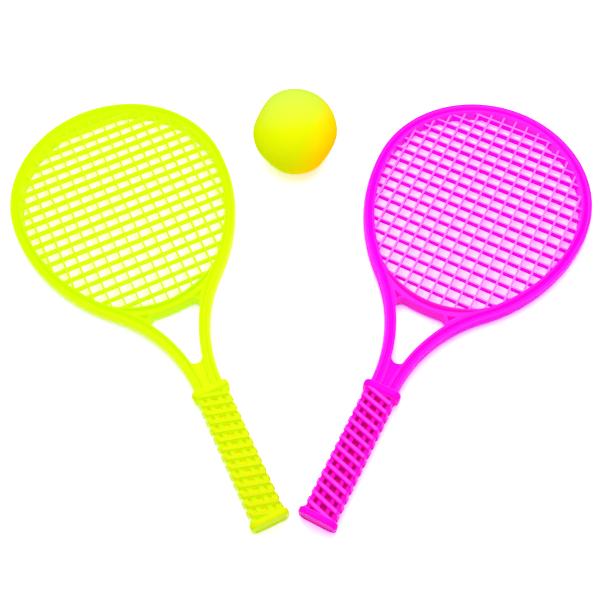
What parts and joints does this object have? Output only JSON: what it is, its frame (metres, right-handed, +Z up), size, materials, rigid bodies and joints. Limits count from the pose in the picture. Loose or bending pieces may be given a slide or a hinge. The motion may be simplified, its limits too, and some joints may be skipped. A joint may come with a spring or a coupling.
{
  "type": "kids tennis set",
  "caption": "Toy tennis set: a lime racket and a pink racket with moulded string beds and open ribbed grips, and a foam ball, laid out on the floor.",
  "frame": {"origin": "on the floor under the middle of the set, which lies as in the picture", "axes": "+Z up, +X to the right across both rackets, +Y away from the handles towards the heads"},
  "size_m": [0.4727, 0.3657, 0.067],
  "materials": {
    "yellow_plastic": "semi-gloss moulded polypropylene",
    "pink_plastic": "semi-gloss moulded polypropylene",
    "ball_foam": "matte fine-celled foam"
  },
  "bodies": {
    "yellow_racket": {"yellow_rim": "yellow_plastic", "yellow_bridge": "yellow_plastic", "yellow_strings": "yellow_plastic", "yellow_neck_web": "yellow_plastic", "yellow_collar": "yellow_plastic", "yellow_grip_rails": "yellow_plastic", "yellow_front_ribs": "yellow_plastic", "yellow_back_ribs": "yellow_plastic", "yellow_butt": "yellow_plastic"},
    "pink_racket": {"pink_rim": "pink_plastic", "pink_bridge": "pink_plastic", "pink_strings": "pink_plastic", "pink_neck_web": "pink_plastic", "pink_collar": "pink_plastic", "pink_grip_rails": "pink_plastic", "pink_front_ribs": "pink_plastic", "pink_back_ribs": "pink_plastic", "pink_butt": "pink_plastic"},
    "ball": {"foam_ball": "ball_foam"}
  },
  "joints": [
    {"name": "pink_lift", "type": "slide", "parent": "yellow_racket", "child": "pink_racket", "axis": [0, 0, 1], "range_m": [0, 0.3]},
    {"name": "ball_lift", "type": "slide", "parent": "yellow_racket", "child": "ball", "axis": [0, 0, 1], "range_m": [0, 0.3]}
  ]
}
